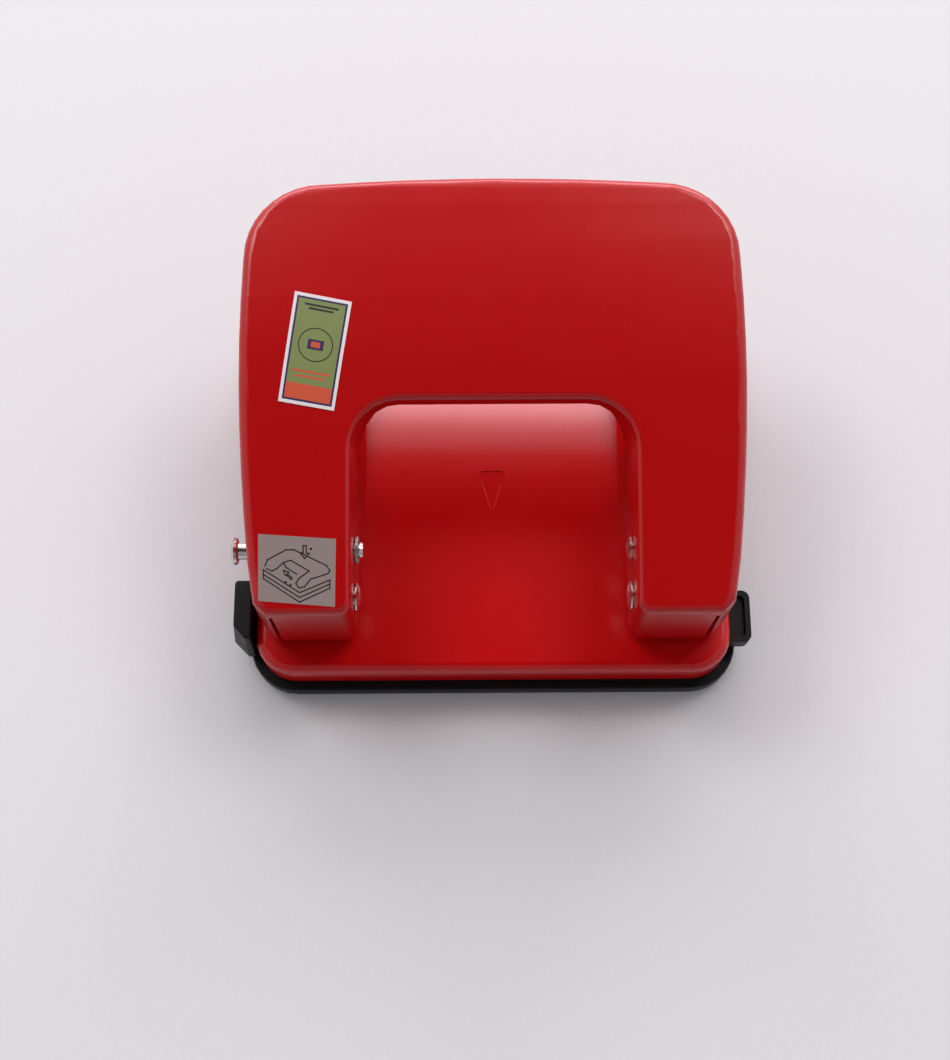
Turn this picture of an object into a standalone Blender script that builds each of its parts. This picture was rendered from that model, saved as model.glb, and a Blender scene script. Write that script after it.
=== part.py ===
"""Two-hole desk punch with a pressed steel lever, a paper guide and a chip tray.

Metres, +Z up. X runs to the right, Y to the back, and the origin is the centre of
the chip tray's underside. The paper goes in from the front, under the lever's legs.
"""
import math

import bmesh
import bpy
from mathutils import Matrix, Vector

# Punching
HOLE_SPACING = 0.080
HOLE_DIAMETER = 0.0058
PAPER_MARGIN = 0.012
PAPER_GAP = 0.0016

# Sheet, clearances, and how far a cutter runs past what it cuts
SHEET = 0.0012
GAP = 0.0003
SIDE_CLEARANCE = 0.0004
CUT_PAST = 0.005

# Base plate
BASE_DEPTH = 0.092
BASE_HEIGHT = 0.014
BASE_MARGIN = 0.0028
BASE_CORNER = 0.0085
BASE_FOLD = 0.0022
PANEL_HALF_WIDTH = 0.0290
PANEL_LEAD = 0.003
PANEL_RADIUS = 0.095
PANEL_SLOPE = math.radians(22.3)
PANEL_FOOT_RADIUS = 0.010
ARROW_WIDTH = 0.0056
ARROW_LENGTH = 0.0115
ARROW_SETBACK = 0.0010
ARROW_DEPTH = 0.0003

# Chip tray
TRAY_LIP = 0.0022
TRAY_RIM_HEIGHT = 0.0045
TRAY_FLOOR = 0.0016
TRAY_WALL = 0.0012
TRAY_UPSTAND = 0.0045
TRAY_EDGE = 0.0007
HINGE_KNUCKLE_RADIUS = 0.0010
HINGE_KNUCKLE_LENGTH = 0.009
HINGE_KNUCKLE_X = 0.033

# Lever
PIVOT_SETBACK = 0.0131
PIVOT_HEIGHT = 0.015
DRIVE_ARM = 0.010
LEVER_TRAVEL = math.radians(24.0)
LEVER_LENGTH = 0.0919
LEVER_NOSE = 0.0064
LEVER_FRONT_HEIGHT = 0.0255
LEVER_SLOPE = 0.2476
LEVER_CURVE = 1.83
LEVER_CURVE_START = 0.0393
LEVER_BULGE = 0.0032
LEVER_BULGE_PLACE = 0.0513
LEVER_REAR_CORNER = 0.0165
LEVER_REAR_BOW = 0.0012
LEVER_FOLD = 0.0034
LEVER_NOSE_CHAMFER = 0.0026
LEG_CLEARANCE = 0.0025
PRESSED_CLEARANCE = 0.0012
WINDOW_DEPTH = 0.0434
WINDOW_CORNER = 0.0100
WINDOW_LIP = 0.0034
WINDOW_FOLD_SHARE = 0.58
RELIEF_SLIT = 0.0008

# Punch frames and what they carry
FRAME_WIDTH = 0.0172
FRAME_NOSE = 0.0034
FRAME_TOP = 0.0214
FRAME_TAIL = 0.0190
FRAME_TOP_DROP = 0.0010
RIVET_ROW_FRONT = 0.0052
RIVET_ROW_REAR = 0.0045
FRAME_TAIL_HEIGHT = 0.0062
BUSHING_WALL = 0.0011
BUSHING_FLANGE = 0.0013
FLANGE_THICKNESS = 0.0010
DIE_WALL = 0.0026
DIE_THICKNESS = 0.0028
CLIP_THICKNESS = 0.0006
CLIP_WIDTH = 0.0019
CLIP_SETBACK = 0.0018
GROOVE_DEPTH = 0.0005
SPRING_WIRE = 0.0007
SPRING_TURNS = 4.5
PUNCH_TIP_CLEARANCE = 0.0003
PUNCH_TIP_HOLLOW = 0.0007

# Rivets and pins
PIVOT_DIAMETER = 0.0040
DRIVE_DIAMETER = 0.0036
RIVET_HEAD_DIAMETER = 0.0062
RIVET_HEAD_HEIGHT = 0.0010
LOCK_HEAD_DIAMETER = 0.0060
LOCK_HEAD_HEIGHT = 0.0017
LOCK_TRAVEL = 0.0024
FRAME_RIVET_DIAMETER = 0.0030
FRAME_RIVET_HEAD = 0.0052

# Paper guide
GUIDE_WIDTH = 0.012
GUIDE_THICKNESS = 0.0044
GUIDE_RECESS = 0.0010
GUIDE_RIM = 0.0012
GUIDE_END_REACH = 0.0029
GUIDE_CORNER = 0.0018
FENCE_THICKNESS = 0.0052
FENCE_LENGTH = 0.0150
FENCE_HEIGHT = 0.0128
FENCE_CHAMFER = 0.0034
FENCE_LEAN = 0.28
FENCE_TAPER = 0.12
FENCE_TAPER_SETBACK = 0.0045
STRAP_THICKNESS = 0.0008
STRAP_FLANGE = 0.0035

# Places that follow from the sizes above
HOLE_X = HOLE_SPACING / 2
FRAME_HALF = FRAME_WIDTH / 2
LEG_INNER = HOLE_X - FRAME_HALF - SIDE_CLEARANCE - SHEET
LEG_OUTER = HOLE_X + FRAME_HALF + SIDE_CLEARANCE + SHEET
BASE_HALF_WIDTH = LEG_OUTER + BASE_MARGIN
BASE_HALF_DEPTH = BASE_DEPTH / 2
SKIRT_BOTTOM = TRAY_RIM_HEIGHT + GAP
PIVOT_Y = PIVOT_SETBACK - BASE_HALF_DEPTH
PIVOT_Z = BASE_HEIGHT + PIVOT_HEIGHT
DRIVE_Y = PIVOT_Y + DRIVE_ARM * math.cos(LEVER_TRAVEL / 2)
DRIVE_Z = PIVOT_Z + DRIVE_ARM * math.sin(LEVER_TRAVEL / 2)
STOP_Y = DRIVE_Y + PAPER_MARGIN
PANEL_Y = STOP_Y - PANEL_LEAD
NOSE_Y = PIVOT_Y - LEVER_NOSE
REAR_Y = NOSE_Y + LEVER_LENGTH
WINDOW_BACK_Y = NOSE_Y + WINDOW_DEPTH
LEG_BOTTOM = BASE_HEIGHT + LEG_CLEARANCE
WEB_BOTTOM = BASE_HEIGHT + PAPER_GAP
WEB_TOP = WEB_BOTTOM + SHEET
PUNCH_RADIUS = HOLE_DIAMETER / 2
PUNCH_TIP = WEB_BOTTOM + PUNCH_TIP_CLEARANCE
PUNCH_TOP = DRIVE_Z - DRIVE_DIAMETER / 2 - GAP
FLANGE_BOTTOM = WEB_TOP + GAP
FLANGE_TOP = FLANGE_BOTTOM + FLANGE_THICKNESS
CLIP_TOP = PUNCH_TOP - CLIP_SETBACK
CLIP_BOTTOM = CLIP_TOP - CLIP_THICKNESS
GUIDE_BACK_Y = DRIVE_Y - PUNCH_RADIUS - GAP * 3
GUIDE_FRONT_Y = GUIDE_BACK_Y - GUIDE_WIDTH
GUIDE_TOP = BASE_HEIGHT - DIE_THICKNESS - GAP * 3
GUIDE_BOTTOM = GUIDE_TOP - GUIDE_THICKNESS
FENCE_X = BASE_HALF_WIDTH + GAP * 2
STRAP_INNER_X = HOLE_X + PUNCH_RADIUS + DIE_WALL + GAP
STRAP_OUTER_X = BASE_HALF_WIDTH - BASE_CORNER / 2

RED_PAINT = ((0.38, 0.004, 0.006, 1.0), 0.38, 0.0)
BLACK_PLASTIC = ((0.012, 0.012, 0.013, 1.0), 0.45, 0.0)
BRIGHT_STEEL = ((0.62, 0.60, 0.57, 1.0), 0.28, 1.0)
ZINC_STEEL = ((0.50, 0.51, 0.52, 1.0), 0.42, 1.0)
TOOL_STEEL = ((0.36, 0.36, 0.37, 1.0), 0.30, 1.0)

parts = bpy.data.collections.new("hole_punch")
cutters = bpy.data.collections.new("cutters")


def material_for(name, finish):
    """Principled material from a base colour, a roughness and a metallic value."""
    colour, roughness, metallic = finish
    material = bpy.data.materials.new(name)
    material.use_nodes = True
    shader = material.node_tree.nodes["Principled BSDF"]
    shader.inputs["Base Color"].default_value = colour
    shader.inputs["Roughness"].default_value = roughness
    shader.inputs["Metallic"].default_value = metallic
    return material


def arc(centre, radius, start, end, steps):
    """Points on an arc, with angles in radians and both ends included."""
    angles = [start + (end - start) * i / steps for i in range(steps + 1)]
    return [(centre[0] + radius * math.cos(a), centre[1] + radius * math.sin(a)) for a in angles]


def rounded(corners, steps=5):
    """Outline through corners (x, y, radius), with an arc at each corner."""
    outline = []
    for i, (x, y, radius) in enumerate(corners):
        corner = Vector((x, y))
        if radius == 0:
            outline.append((x, y))
            continue
        before = (Vector(corners[i - 1][:2]) - corner).normalized()
        after = (Vector(corners[(i + 1) % len(corners)][:2]) - corner).normalized()
        half = before.angle(after) / 2
        centre = corner + (before + after).normalized() * radius / math.sin(half)
        from_centre = corner + before * radius / math.tan(half) - centre
        to_centre = corner + after * radius / math.tan(half) - centre
        start = math.atan2(from_centre.y, from_centre.x)
        turn = math.atan2(to_centre.y, to_centre.x) - start
        turn = (turn + math.pi) % (2 * math.pi) - math.pi
        outline += arc(centre, radius, start, start + turn, steps)
    return outline


def rounded_rectangle(half_x, half_y, radius, steps=5):
    """Outline of a rectangle about the origin with round corners."""
    signs = [(1, -1), (1, 1), (-1, 1), (-1, -1)]
    return rounded([(sx * half_x, sy * half_y, radius) for sx, sy in signs], steps)


def box_outline(x_low, x_high, y_low, y_high):
    """Corners of a plain rectangle."""
    return [(x_low, y_low), (x_high, y_low), (x_high, y_high), (x_low, y_high)]


def prism_bmesh(outline, axis, low, high):
    """Solid over a flat outline: (x, y) raised along Z, or (y, z) drawn along X."""
    bm = bmesh.new()
    if axis == "Z":
        verts = [bm.verts.new((a, b, low)) for a, b in outline]
        step = Vector((0, 0, high - low))
    else:
        verts = [bm.verts.new((low, a, b)) for a, b in outline]
        step = Vector((high - low, 0, 0))
    floor = bm.faces.new(verts)
    raised = bmesh.ops.extrude_face_region(bm, geom=[floor])
    moved = [item for item in raised["geom"] if isinstance(item, bmesh.types.BMVert)]
    bmesh.ops.translate(bm, verts=moved, vec=step)
    bmesh.ops.recalc_face_normals(bm, faces=bm.faces)
    return bm


def object_from(bm, name):
    """New object holding the bmesh, not yet in a collection."""
    mesh = bpy.data.meshes.new(name)
    bm.to_mesh(mesh)
    bm.free()
    return bpy.data.objects.new(name, mesh)


def attach(obj, joint_empty):
    """Parent a piece to the empty on its joint's axis, where it stands."""
    obj.parent = joint_empty
    obj.matrix_parent_inverse = Matrix.Translation(-joint_empty.location)


def add_part(obj, material, joint_empty=None):
    """Put a finished piece in the model's collection."""
    parts.objects.link(obj)
    obj.data.materials.append(material)
    if joint_empty is not None:
        attach(obj, joint_empty)
    return obj


def add_cutter(obj):
    """Put a shape that only cuts or joins in the cutters' collection."""
    cutters.objects.link(obj)
    obj.hide_render = True
    obj.display_type = "WIRE"
    return obj


def combine(obj, other, operation="DIFFERENCE"):
    """Cut, join or intersect a piece with another shape."""
    modifier = obj.modifiers.new(other.name, "BOOLEAN")
    modifier.operation = operation
    modifier.solver = "EXACT"
    modifier.object = other
    return obj


def soften(obj, width, segments=2, angle=math.radians(40)):
    """Round a piece's sharp edges."""
    modifier = obj.modifiers.new("soften", "BEVEL")
    modifier.width = width
    modifier.segments = segments
    modifier.limit_method = "ANGLE"
    modifier.angle_limit = angle
    modifier.use_clamp_overlap = True
    return obj


def prism_cutter(name, outline, axis, low, high):
    """Cutter over a flat outline."""
    return add_cutter(object_from(prism_bmesh(outline, axis, low, high), name))


def rod_cutter(name, centre, radius, length, axis="Z", sides=28):
    """Round cutter about a centre."""
    bm = bmesh.new()
    bmesh.ops.create_cone(bm, cap_ends=True, segments=sides, radius1=radius, radius2=radius, depth=length)
    if axis == "X":
        bmesh.ops.rotate(bm, verts=bm.verts, matrix=Matrix.Rotation(math.pi / 2, 3, "Y"))
    bmesh.ops.translate(bm, verts=bm.verts, vec=Vector(centre))
    return add_cutter(object_from(bm, name))


def turned(name, profile, place, side=0, closed=False, steps=24):
    """Turned piece from (radius, height) points that run down its outer side.

    side 0 stands the axis along Z; 1 or -1 points the profile's top along +X or -X.
    A closed profile makes a ring; an open one starts and ends on the axis.
    """
    bm = bmesh.new()
    verts = [bm.verts.new((radius, 0, height)) for radius, height in profile]
    for first, second in zip(verts, verts[1:]):
        bm.edges.new((first, second))
    if closed:
        bm.edges.new((verts[-1], verts[0]))
    obj = object_from(bm, name)
    obj.location = place
    obj.rotation_euler = (0, side * math.pi / 2, 0)
    screw = obj.modifiers.new("turn", "SCREW")
    screw.axis = "Z"
    screw.steps = steps
    screw.render_steps = steps
    screw.use_merge_vertices = True
    screw.merge_threshold = 0.00001
    screw.use_smooth_shade = True
    return obj


def lever_top(y):
    """Height of the lever's top face at rest: straight at the legs, bowed behind them."""
    along = y - NOSE_Y
    bowed = max(0.0, along - LEVER_CURVE_START)
    return BASE_HEIGHT + LEVER_FRONT_HEIGHT + LEVER_SLOPE * along - LEVER_CURVE * bowed ** 2


def lever_bottom(y):
    """Lower edge of the lever's walls: level with the base plate once it is pressed."""
    drop = (PIVOT_Z - BASE_HEIGHT - PRESSED_CLEARANCE) / math.cos(LEVER_TRAVEL)
    return max(LEG_BOTTOM, PIVOT_Z + math.tan(LEVER_TRAVEL) * (y - PIVOT_Y) - drop)


def lever_half_width(y):
    """Half the lever's width: the sides bulge behind the legs."""
    place = NOSE_Y + LEVER_BULGE_PLACE
    return LEG_OUTER + LEVER_BULGE * (1 - ((y - place) / LEVER_BULGE_PLACE) ** 2)


def lever_outline():
    """Right half of the lever's plan, from the window's back edge round to the rear edge."""
    chamfer = LEVER_NOSE_CHAMFER
    half = [(0, WINDOW_BACK_Y)]
    half += rounded([
        (0, WINDOW_BACK_Y, 0),
        (LEG_INNER, WINDOW_BACK_Y, WINDOW_CORNER),
        (LEG_INNER, NOSE_Y, LEVER_NOSE_CHAMFER),
        (LEG_OUTER - chamfer, NOSE_Y, 0),
        (LEG_OUTER, NOSE_Y + chamfer, 0),
        (LEG_OUTER, WINDOW_BACK_Y * 2, 0),
    ], 6)[1:-1]
    corner_y = REAR_Y - LEVER_REAR_BOW - LEVER_REAR_CORNER
    side_start = NOSE_Y + chamfer
    side = [side_start + (corner_y - side_start) * i / 8 for i in range(1, 9)]
    half += [(lever_half_width(y), y) for y in side]
    corner_x = lever_half_width(corner_y) - LEVER_REAR_CORNER
    half += arc((corner_x, corner_y), LEVER_REAR_CORNER, 0, math.pi / 2, 9)[1:]
    bow = [corner_x * (1 - i / 4) for i in range(1, 5)]
    half += [(x, REAR_Y - LEVER_REAR_BOW * (x / corner_x) ** 2) for x in bow]
    return half


def strip_places():
    """Where the lever's top is divided along Y, clear of its front, window and rear folds."""
    first = NOSE_Y + LEVER_NOSE_CHAMFER + LEVER_FOLD / 2
    last = REAR_Y - 2 * LEVER_FOLD
    count = 12
    places = [first + (last - first) * i / count for i in range(count + 1)]
    return [y for y in places if abs(y - WINDOW_BACK_Y) > LEVER_FOLD * 0.8]


def lever_shell():
    """Lever as a bent sheet: plan outline, sloping top, turned-down walls, round folds."""
    half = lever_outline()
    outline = half + [(-x, y) for x, y in reversed(half[1:-1])]
    bm = prism_bmesh(outline, "Z", 0.0, 0.010)
    floor = min(bm.faces, key=lambda face: face.calc_center_median().z)
    bmesh.ops.delete(bm, geom=[floor], context="FACES_ONLY")
    for y in strip_places():
        everything = bm.verts[:] + bm.edges[:] + bm.faces[:]
        bmesh.ops.bisect_plane(bm, geom=everything, dist=1e-6, plane_co=(0, y, 0), plane_no=(0, 1, 0))
    weights = bm.edges.layers.float.new("bevel_weight_edge")
    for edge in bm.edges:
        top = all(vert.co.z > 0.005 for vert in edge.verts)
        walls = [face for face in edge.link_faces if abs(face.normal.z) < 0.5]
        if top and len(walls) == 1:
            middle = (edge.verts[0].co + edge.verts[1].co) / 2
            window = abs(middle.x) < LEG_INNER + 1e-5 and middle.y < WINDOW_BACK_Y + 1e-5
            nose = middle.y < NOSE_Y + LEVER_NOSE_CHAMFER
            edge[weights] = WINDOW_FOLD_SHARE if window or nose else 1.0
    arc_start = WINDOW_BACK_Y - WINDOW_CORNER
    for vert in bm.verts:
        x, y, z = vert.co
        if z > 0.005:
            vert.co.z = lever_top(y)
            continue
        vert.co.z = lever_bottom(y)
        if abs(x) < LEG_INNER + 1e-5 and y > arc_start:
            share = min(1.0, (y - arc_start) / WINDOW_CORNER)
            ease = share * share * (3 - 2 * share)
            vert.co.z += (lever_top(y) - WINDOW_LIP - vert.co.z) * ease
    lever = object_from(bm, "lever")
    folds = lever.modifiers.new("folds", "BEVEL")
    folds.limit_method = "WEIGHT"
    folds.width = LEVER_FOLD
    folds.segments = 4
    wall = lever.modifiers.new("sheet", "SOLIDIFY")
    wall.thickness = SHEET
    wall.offset = -1
    wall.use_even_offset = True
    return lever


def make_lever(material, joint):
    """Pressed lever with its pivot holes, drive holes and corner relief slits."""
    lever = add_part(lever_shell(), material, joint)
    reach = 2 * (LEG_OUTER + LEVER_BULGE + CUT_PAST)
    combine(lever, rod_cutter("pivot_holes", (0, PIVOT_Y, PIVOT_Z), PIVOT_DIAMETER / 2 + GAP, reach, "X"))
    combine(lever, rod_cutter("drive_holes", (0, DRIVE_Y, DRIVE_Z), DRIVE_DIAMETER / 2 + GAP, reach, "X"))
    slit_top = lever_top(NOSE_Y) - LEVER_FOLD
    for side, name in ((-1, "left"), (1, "right")):
        centre = side * (LEG_OUTER - LEVER_NOSE_CHAMFER - RELIEF_SLIT)
        low = centre - RELIEF_SLIT / 2
        slit = box_outline(low, low + RELIEF_SLIT, NOSE_Y - CUT_PAST, NOSE_Y + LEVER_NOSE_CHAMFER)
        combine(lever, prism_cutter("relief_slit_" + name, slit, "Z", 0, slit_top))
    return lever


def panel_outline(drop):
    """Space over the base plate's centre panel, which rolls down towards the back."""
    top = BASE_HEIGHT - drop
    start = (PANEL_Y, top - PANEL_RADIUS)
    roll = arc(start, PANEL_RADIUS, math.pi / 2, math.pi / 2 - PANEL_SLOPE, 10)
    end_y, end_z = roll[-1]
    foot_centre = (end_y + PANEL_FOOT_RADIUS * math.sin(PANEL_SLOPE),
                   end_z + PANEL_FOOT_RADIUS * math.cos(PANEL_SLOPE))
    foot = arc(foot_centre, PANEL_FOOT_RADIUS, 1.5 * math.pi - PANEL_SLOPE, 1.5 * math.pi, 5)[1:]
    back = BASE_HALF_DEPTH + CUT_PAST
    high = BASE_HEIGHT + CUT_PAST
    return roll + foot + [(back, foot[-1][1]), (back, high), (PANEL_Y, high)]


def make_base_plate(material):
    """Pressed base plate: bed, skirt, centre panel, holes and the slots for the paper guide."""
    plan = rounded_rectangle(BASE_HALF_WIDTH, BASE_HALF_DEPTH, BASE_CORNER, 6)
    plate = object_from(prism_bmesh(plan, "Z", SKIRT_BOTTOM, BASE_HEIGHT), "base_plate")
    round_rim(plate, BASE_HEIGHT, BASE_FOLD)
    inner_plan = rounded_rectangle(BASE_HALF_WIDTH - SHEET, BASE_HALF_DEPTH - SHEET, BASE_CORNER - SHEET, 6)
    core = object_from(prism_bmesh(inner_plan, "Z", 0, BASE_HEIGHT - SHEET), "plate_core")
    round_rim(core, BASE_HEIGHT - SHEET, BASE_FOLD - SHEET)
    add_cutter(core)
    inner_half = PANEL_HALF_WIDTH + SHEET
    under_panel = panel_outline(SHEET)
    combine(core, prism_cutter("under_panel", under_panel, "X", -inner_half, inner_half))
    add_part(plate, material)
    over_panel = panel_outline(0)
    combine(plate, prism_cutter("over_panel", over_panel, "X", -PANEL_HALF_WIDTH, PANEL_HALF_WIDTH))
    combine(plate, core)
    slot = box_outline(GUIDE_FRONT_Y - GAP, GUIDE_BACK_Y + GAP, 0, GUIDE_TOP + GAP)
    reach = BASE_HALF_WIDTH + CUT_PAST
    combine(plate, prism_cutter("guide_slots", slot, "X", -reach, reach))
    for side, name in ((-1, "left"), (1, "right")):
        x = side * HOLE_X
        die_radius = PUNCH_RADIUS + DIE_WALL + GAP
        combine(plate, rod_cutter("die_hole_" + name, (x, DRIVE_Y, BASE_HEIGHT), die_radius, 2 * CUT_PAST))
        for y, row in frame_rivet_rows():
            hole = FRAME_RIVET_DIAMETER / 2 + GAP
            place = (x, y, BASE_HEIGHT)
            combine(plate, rod_cutter(f"plate_rivet_hole_{name}_{row}", place, hole, 2 * CUT_PAST))
    combine(plate, arrow_cutter())
    return plate


def round_rim(obj, height, width):
    """Round the upper rim of a prism by bevel weights on its highest edges."""
    bm = bmesh.new()
    bm.from_mesh(obj.data)
    weights = bm.edges.layers.float.new("bevel_weight_edge")
    for edge in bm.edges:
        if all(vert.co.z > height - 1e-6 for vert in edge.verts):
            edge[weights] = 1.0
    bm.to_mesh(obj.data)
    bm.free()
    modifier = obj.modifiers.new("rim", "BEVEL")
    modifier.limit_method = "WEIGHT"
    modifier.width = width
    modifier.segments = 3


def arrow_cutter():
    """Shallow centre mark behind the paper stop: a tapering arrow that points to the front."""
    tip_y = STOP_Y + ARROW_SETBACK
    tail_y = tip_y + ARROW_LENGTH
    half = ARROW_WIDTH / 2
    outline = rounded([
        (0, tip_y, 0.0006),
        (half, tail_y - half / 2, 0.0008),
        (half, tail_y, 0.0007),
        (-half, tail_y, 0.0007),
        (-half, tail_y - half / 2, 0.0008),
    ], 3)
    middle_y = (tip_y + tail_y) / 2
    slope = math.asin((middle_y - PANEL_Y) / PANEL_RADIUS)
    middle_z = BASE_HEIGHT - PANEL_RADIUS * (1 - math.cos(slope))
    flat = [(x, y - middle_y) for x, y in outline]
    cutter = prism_cutter("arrow_mark", flat, "Z", -ARROW_DEPTH, CUT_PAST)
    cutter.location = (0, middle_y, middle_z)
    cutter.rotation_euler = (-slope, 0, 0)
    return cutter


def frame_rivet_rows():
    """Places of the two rivets that hold each punch frame, behind the paper stop."""
    first = STOP_Y + SHEET + RIVET_ROW_FRONT
    return (first, "front"), (STOP_Y + FRAME_TAIL - RIVET_ROW_REAR, "rear")


def frame_outline():
    """Side view of a punch frame's cheeks: tall at the pivot, low at the tail.

    Its nose is cut back over the pivot, so the lever's front corner clears it as it swings.
    """
    nose = PIVOT_Y - FRAME_NOSE
    tail = STOP_Y + FRAME_TAIL
    foot = BASE_HEIGHT + GAP
    top = BASE_HEIGHT + FRAME_TOP
    return [
        (nose, WEB_BOTTOM),
        (STOP_Y, WEB_BOTTOM),
        (STOP_Y, foot),
        (tail, foot),
        (tail, foot + FRAME_TAIL_HEIGHT),
        (DRIVE_Y + DRIVE_DIAMETER * 1.3, top),
        (PIVOT_Y + PIVOT_DIAMETER / 2, top),
        (PIVOT_Y - PIVOT_DIAMETER * 0.25, top - FRAME_TOP_DROP),
        (nose, PIVOT_Z + PIVOT_DIAMETER * 0.25),
    ]


def drive_slot_outline():
    """Arc slot that the drive pin sweeps in a frame's cheeks."""
    width = DRIVE_DIAMETER / 2 + GAP + 0.0001
    swing = LEVER_TRAVEL / 2
    pivot = (PIVOT_Y, PIVOT_Z)
    upper = arc(pivot, DRIVE_ARM, swing, swing, 1)[0]
    lower = arc(pivot, DRIVE_ARM, -swing, -swing, 1)[0]
    outline = arc(pivot, DRIVE_ARM + width, -swing, swing, 6)
    outline += arc(upper, width, swing, swing + math.pi, 8)[1:-1]
    outline += arc(pivot, DRIVE_ARM - width, swing, -swing, 6)
    outline += arc(lower, width, math.pi - swing, 2 * math.pi - swing, 8)[1:-1]
    return outline


def make_frame(side, name, material):
    """Punch frame: a channel whose raised web leaves the paper gap and steps down behind it."""
    middle = side * HOLE_X
    frame = object_from(prism_bmesh(frame_outline(), "X", middle - FRAME_HALF, middle + FRAME_HALF),
                        "punch_frame_" + name)
    add_part(frame, material)
    foot_top = BASE_HEIGHT + GAP + SHEET
    high = BASE_HEIGHT + FRAME_TOP + CUT_PAST
    low_y = PIVOT_Y - FRAME_NOSE - CUT_PAST
    high_y = STOP_Y + FRAME_TAIL + CUT_PAST
    channel = [
        (low_y, WEB_TOP),
        (STOP_Y + SHEET, WEB_TOP),
        (STOP_Y + SHEET, foot_top),
        (high_y, foot_top),
        (high_y, high),
        (low_y, high),
    ]
    inner = FRAME_HALF - SHEET
    reach = FRAME_WIDTH + CUT_PAST
    combine(frame, prism_cutter("channel_" + name, channel, "X", middle - inner, middle + inner))
    pivot_hole = PIVOT_DIAMETER / 2 + GAP
    combine(frame, rod_cutter("frame_pivot_" + name, (middle, PIVOT_Y, PIVOT_Z), pivot_hole, reach, "X"))
    slot = drive_slot_outline()
    combine(frame, prism_cutter("drive_slot_" + name, slot, "X", middle - reach / 2, middle + reach / 2))
    bushing_hole = PUNCH_RADIUS + GAP + BUSHING_WALL + GAP
    combine(frame, rod_cutter("bushing_hole_" + name, (middle, DRIVE_Y, WEB_TOP), bushing_hole, CUT_PAST))
    for y, row in frame_rivet_rows():
        hole = FRAME_RIVET_DIAMETER / 2 + GAP
        combine(frame, rod_cutter(f"frame_rivet_hole_{name}_{row}", (middle, y, foot_top), hole, CUT_PAST))
    return frame


def make_frame_rivets(side, name, material):
    """Rivets through each frame's foot and the base plate."""
    top = BASE_HEIGHT + SHEET + GAP * 2
    bottom = BASE_HEIGHT - SHEET - GAP
    shank = FRAME_RIVET_DIAMETER / 2
    head = FRAME_RIVET_HEAD / 2
    for y, row in frame_rivet_rows():
        profile = [(0, top + 0.0010), (head * 0.6, top + 0.0009), (head, top + 0.0003), (head, top),
                   (shank, top), (shank, bottom), (head, bottom), (head, bottom - 0.0004),
                   (head * 0.7, bottom - 0.0008), (0, bottom - 0.0008)]
        rivet = turned(f"frame_rivet_{name}_{row}", profile, (side * HOLE_X, y, 0), steps=18)
        add_part(rivet, material)


def make_bushing(side, name, material):
    """Flanged bushing that guides a punch through its frame's web."""
    bore = PUNCH_RADIUS + GAP
    body = bore + BUSHING_WALL
    flange = body + BUSHING_FLANGE
    profile = [(bore, FLANGE_TOP), (flange, FLANGE_TOP), (flange, FLANGE_BOTTOM), (body, FLANGE_BOTTOM),
               (body, WEB_BOTTOM + GAP / 3), (bore, WEB_BOTTOM + GAP / 3)]
    bushing = turned("guide_bushing_" + name, profile, (side * HOLE_X, DRIVE_Y, 0), closed=True)
    add_part(bushing, material)


def make_die(side, name, material):
    """Die button under the punch, flush with the bed, with a relief for the chips."""
    top = BASE_HEIGHT
    bottom = top - DIE_THICKNESS
    cut = PUNCH_RADIUS + GAP
    outer = PUNCH_RADIUS + DIE_WALL
    land = top - DIE_THICKNESS * 0.4
    profile = [(cut, top), (outer, top), (outer, bottom), (cut + 0.0007, bottom),
               (cut + 0.0007, land), (cut, land - 0.0001)]
    die = turned("die_" + name, profile, (side * HOLE_X, DRIVE_Y, 0), closed=True, steps=28)
    add_part(die, material)


def make_punch(side, name, material, joint):
    """Punch pin: flat top under the drive pin, clip groove, hollow-ground cutting tip."""
    radius = PUNCH_RADIUS
    groove = radius - GROOVE_DEPTH - GAP
    bevel = 0.0006
    profile = [(0, PUNCH_TOP), (radius - bevel, PUNCH_TOP), (radius, PUNCH_TOP - bevel),
               (radius, CLIP_TOP + GAP), (groove, CLIP_TOP + GAP), (groove, CLIP_BOTTOM - GAP),
               (radius, CLIP_BOTTOM - GAP), (radius, PUNCH_TIP), (0, PUNCH_TIP + PUNCH_TIP_HOLLOW)]
    punch = turned("punch_" + name, profile, (side * HOLE_X, DRIVE_Y, 0))
    add_part(punch, material, joint)


def make_clip(side, name, material, joint):
    """Open retaining ring in the punch's groove, which carries the return spring."""
    inner = PUNCH_RADIUS - GROOVE_DEPTH
    outer = PUNCH_RADIUS + CLIP_WIDTH
    profile = [(inner, CLIP_TOP), (outer, CLIP_TOP), (outer, CLIP_BOTTOM), (inner, CLIP_BOTTOM)]
    clip = turned("punch_clip_" + name, profile, (side * HOLE_X, DRIVE_Y, 0), closed=True)
    x = side * HOLE_X
    mouth = box_outline(x - inner * 0.7, x + inner * 0.7, DRIVE_Y - outer * 1.5, DRIVE_Y)
    low, high = CLIP_BOTTOM - CUT_PAST, CLIP_TOP + CUT_PAST
    combine(clip, prism_cutter("clip_mouth_" + name, mouth, "Z", low, high))
    add_part(clip, material, joint)


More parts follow.
